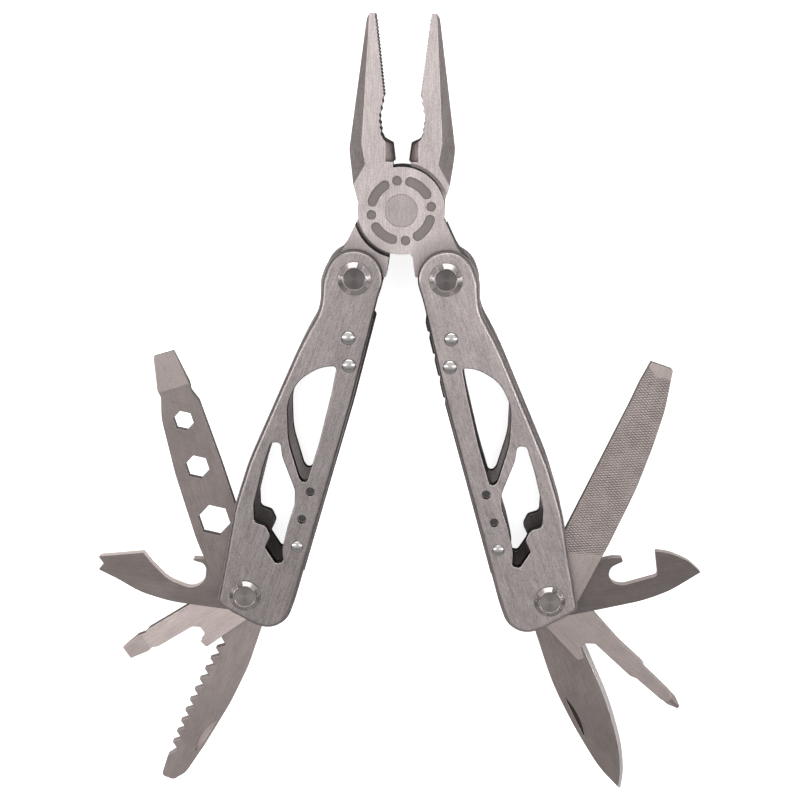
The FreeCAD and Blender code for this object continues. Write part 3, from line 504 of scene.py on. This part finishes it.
def pits_and_bolt_shade(finish):
    """1 in the shallow marks round the pivot, which are darkened; less on the tangs near their bolts,
    where it is painted shade.
    """
    place = finish.node("ShaderNodeTexCoord", output="Object")
    height = finish.node("ShaderNodeSeparateXYZ", None, {0: place}, output="Z")
    depth = jaw_half - (height - jaw_middle).size()
    radius = flat_offset(finish, place, pliers_pivot)[1]
    near = radius.ramp(PIT_RING + 0.3 * MM, PIT_RING)
    dark = near * depth.ramp(0.2 * MM, 0.4 * MM) * depth.ramp(0.9 * MM, 0.7 * MM)
    # Painted shade on the tangs round each tang bolt, under the end of its handle.
    for bolt in tang_bolt.values():
        reach = flat_offset(finish, place, bolt)[1]
        dark = dark.math("MAXIMUM", reach.ramp(BOLT_SHADE_START, BOLT_SHADE_END) * BOLT_SHADE_SHARE)
    return dark


jaw_steel = satin_steel("jaw_steel", JAW_TONE, pliers_pivot, 0.0, painted_wall_tone=0.035, grain=1.9,
                        painted_hollows=pits_and_bolt_shade, depth=0.44)
for node in ("front_jaw", "rear_jaw"):
    dress(node, jaw_steel)
dress("pliers_pivot_rivet", satin_steel("rivet_steel", RIVET_TONE, pliers_pivot, 0.0))
print("satin steels:", len(bpy.data.materials))

# %% [markdown]
# ## What is cut into the tools
# A file has two sets of slanted cuts that cross, and a blade has a nick for a fingernail. The cuts are
# two saw waves across the file, faded out at its root and tip. Hundreds of real grooves a tenth of a
# millimetre deep would look no better. The nick is real, and its mask only finds its sunken floor. The
# file's grooves and the knife's nick are darkened as painted shade, and the saw's nick is lightened as
# painted light.

# %% File cuts and nail nicks
# Degrees from straight up to the direction in which each tool points.
TOOL_TURNS = {
    "hex_wrench": 18, "bottle_opener": 81.5, "small_flat_driver": 121, "wood_saw": 159,
    "metal_file": -23, "can_opener": -80.5, "cross_point_driver": -132, "knife_blade": -159,
}
FILE_PITCH = 0.68 * MM
FILE_CUTS = (14.5 * MM, 68.4 * MM)
# Each set of cuts: its slope across the file, and how deep it is.
FILE_SLANTS = ((0.40, 0.85), (-0.53, 1.0))


def cross_cut(finish):
    """1 in the grooves of a file: two sets of slanted cuts between its root and its tip."""
    place = finish.node("ShaderNodeTexCoord", output="Object")
    turn = math.radians(TOOL_TURNS["metal_file"])
    sockets = {"Vector": place, "Location": tool_bolt["right"], "Rotation": (0.0, 0.0, turn)}
    own = finish.node("ShaderNodeMapping", {"vector_type": "TEXTURE"}, sockets)
    across = finish.node("ShaderNodeSeparateXYZ", None, {0: own}, output="X")
    along = finish.node("ShaderNodeSeparateXYZ", None, {0: own}, output="Y")
    hollows = []
    for slant, share in FILE_SLANTS:
        spread = math.hypot(1.0, slant)
        phase = (along + across * slant) * (1.0 / (FILE_PITCH * spread))
        saw = (phase.math("FRACT", 0.0) - 0.5).size()
        hollows.append(saw.ramp(0.22, 0.48) * share)
    deepest = hollows[0].math("MAXIMUM", hollows[1])
    first, last = FILE_CUTS
    wander = noise(finish, grain_space(finish, tool_bolt["right"], turn, 4.0 * MM, 4.0 * MM), 2.0)
    lower_end = (along - across * 0.36).ramp(first - 1.6 * MM, first + 0.6 * MM)
    upper_end = (along + across * 0.62).ramp(last + 0.5 * MM, last)
    tip_end = (along - across * 0.20).ramp(last + 0.3 * MM, last)
    ends = lower_end * upper_end.math("MAXIMUM", tip_end)
    return deepest * ends * wander.ramp(0.2, 0.7, 0.55, 1.0) * facing_up(finish).ramp(0.8, 0.95)


def in_nick(finish):
    """1 in the nail nick of a blade, which is sunk below its front face."""
    place = finish.node("ShaderNodeTexCoord", output="Object")
    height = finish.node("ShaderNodeSeparateXYZ", None, {0: place}, output="Z")
    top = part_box("knife_blade")[1][2]
    flat = facing_up(finish).ramp(0.98, 0.995)
    return (top - height).ramp(0.4 * MM, 0.6 * MM) * (top - height).ramp(1.4 * MM, 1.2 * MM) * flat


print("file cuts, mm apart:", FILE_PITCH / MM)

# %% [markdown]
# ## The tools
# Each tool was ground along its own length before it was folded out, so its grain points from its bolt
# to its tip. The openers are blasted and darker, and the drivers are bright. The side walls get a
# painted tone:
# pale walls are painted highlights, dark ones painted shade. One table of looks is easier to tune than
# eight materials.

# %% Dress the tools
# Tone, roughness and the painted tone of the side walls, which is painted shade when dark and a painted
# highlight when pale.
TOOL_LOOKS = {
    "hex_wrench": (0.245, 0.36, 0.12),
    "bottle_opener": (0.215, 0.40, 0.75),
    "small_flat_driver": (0.62, 0.36, 0.12),
    "wood_saw": (0.36, 0.36, 0.36),
    "metal_file": (0.40, 0.40, 0.12),
    "can_opener": (0.16, 0.42, 0.50),
    "cross_point_driver": (0.42, 0.36, 0.40),
    "knife_blade": (0.265, 0.33, 0.30),
}
# Each tool's mask of hollows and the share of its tone painted into them: under 1 painted shade, over 1
# painted light.
PAINTED_HOLLOW_TONES = {
    "metal_file": (cross_cut, 0.36),
    "knife_blade": (in_nick, 0.22),
    "wood_saw": (in_nick, 1.3),
}
# The knife's steep bevel is brightened: partly its real finish from grinding, partly a painted
# highlight.
GROUND_SHEEN = {"knife_blade": 1.0}

for hand, tools in TOOLS.items():
    for tool in tools:
        turn = math.radians(TOOL_TURNS[tool])
        tone, rough, painted_wall_tone = TOOL_LOOKS[tool]
        cuts, depth = PAINTED_HOLLOW_TONES.get(tool, (None, 1.0))
        dress(tool, satin_steel(tool + "_steel", tone, tool_bolt[hand], turn, rough=rough,
                                grain=1.0, painted_wall_tone=painted_wall_tone, painted_hollows=cuts, depth=depth,
                                ground_sheen=GROUND_SHEEN.get(tool, 0.0), wall_shine=0.2, hue=WARM_HUE))
print("tools dressed:", sum(len(tools) for tools in TOOLS.values()))

# %% [markdown]
# ## Turned bolts
# The head of each bolt was turned on a lathe, so it has fine rings round its centre and a bright cone,
# and four notches were milled into it for a spanner. Stretched noise can't make rings, so this noise is
# read by the distance from the axis alone. Its floors and walls are found by height and by slope. A
# bow-tie highlight across the face is painted into its colour, and its side walls are painted nearly
# black as shade.

# %% Turned metal
FACE_RADIUS = 2.9 * MM
RING_PITCH = 0.22 * MM


def turned_steel(name, tone, centre, plate_face):
    """Steel off the lathe: fine rings round a centre, a painted bow-tie highlight across the face, a
    bright cone, satin in the notches and side walls in painted shade.
    """
    finish = Finish(name)
    place = finish.node("ShaderNodeTexCoord", output="Object")
    flat, radius = flat_offset(finish, place, centre)
    heading = finish.node("ShaderNodeVectorMath", {"operation": "NORMALIZE"}, {0: flat})
    sheen_sideways = finish.node("ShaderNodeSeparateXYZ", None, {0: heading}, output="X")
    rings = finish.node("ShaderNodeTexNoise", {"noise_dimensions": "1D"},
                        {"W": radius * (1.0 / RING_PITCH), "Scale": 1.0, "Detail": 2.0})
    smear = noise(finish, grain_space(finish, centre, 0.0, 0.9 * MM, 0.9 * MM), 3.0)
    # This term paints a bow-tie highlight across the turned face.
    level = rings * 0.5 + smear * 0.2 + (sheen_sideways * sheen_sideways) * 0.3
    colour = finish.mix(level, tint(tone, 0.5), tint(tone, 1.5))
    cone = radius.ramp(FACE_RADIUS - 0.1 * MM, FACE_RADIUS + 0.1 * MM)
    colour = finish.mix(cone, colour, tint(0.36, 1.0))
    height = finish.node("ShaderNodeSeparateXYZ", None, {0: place}, output="Z")
    half_stack = (plate_face[1] - plate_face[0]) / 2
    above = (height - sum(plate_face) / 2).size() - half_stack
    low = above.ramp(0.34 * MM, 0.26 * MM)
    colour = finish.mix(low, colour, tint(0.27, 1.0))
    steep = facing_up(finish)
    # Side walls are painted nearly black: painted shade.
    colour = finish.mix(steep.ramp(0.15, 0.55), tint(0.02, 1.0), colour)
    rounded, wear = worn_edges(finish)
    colour = finish.mix(wear * 0.25, colour, tint(0.8, 1.0))
    sockets = {"Strength": 0.5, "Distance": 0.02 * MM, "Height": rings, "Normal": rounded}
    finish.set(Base_Color=colour, Metallic=1.0, Roughness=0.2 + level * 0.12 + low * 0.15,
               Normal=finish.node("ShaderNodeBump", None, sockets))
    return finish.material


print("ring pitch, mm:", RING_PITCH / MM)

# %% [markdown]
# ## Polished domes and the small parts
# The domes are nearly mirrors and only need a little haze, or they would look like glass beads. The same
# recipe, duller, does for the pins and washers, which hardly show.

# %% Domes, pins, washers and bolts
def polished_steel(name, tone, rough):
    """Nearly a mirror, with a faint haze and fine wear."""
    finish = Finish(name)
    haze = noise(finish, grain_space(finish, (0.0, 0.0, 0.0), 0.3, 0.5 * MM, 0.8 * MM), 4.0)
    dark = (tone * 0.93, tone * 0.92, tone * 0.90, 1.0)
    light = (min(1.0, tone * 1.06), min(1.0, tone * 1.05), min(1.0, tone * 1.04), 1.0)
    finish.set(Base_Color=finish.mix(haze, dark, light), Metallic=1.0,
               Roughness=rough + (haze - 0.5) * 0.12)
    return finish.material


domes = polished_steel("polished_domes", 0.46, 0.22)
pins = polished_steel("dull_pins", 0.10, 0.42)
washers = polished_steel("washer_steel", 0.6, 0.3)
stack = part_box("left_rear_scale")[0][2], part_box("left_front_scale")[1][2]
TURNED_TONE = {"tang": 0.13, "tool": 0.27}
for hand in TOOLS:
    for kind, bolts in (("tang", tang_bolt), ("tool", tool_bolt)):
        metal = turned_steel(f"{hand}_{kind}_turned", TURNED_TONE[kind], bolts[hand], stack)
        dress(f"{hand}_{kind}_bolt", metal)
        dress(f"{hand}_{kind}_nut", metal)
        dress(f"{hand}_{kind}_washers", washers)
    dress(hand + "_dome_rivets", domes)
    dress(hand + "_spring_pins", pins)
print("materials:", len(bpy.data.materials))
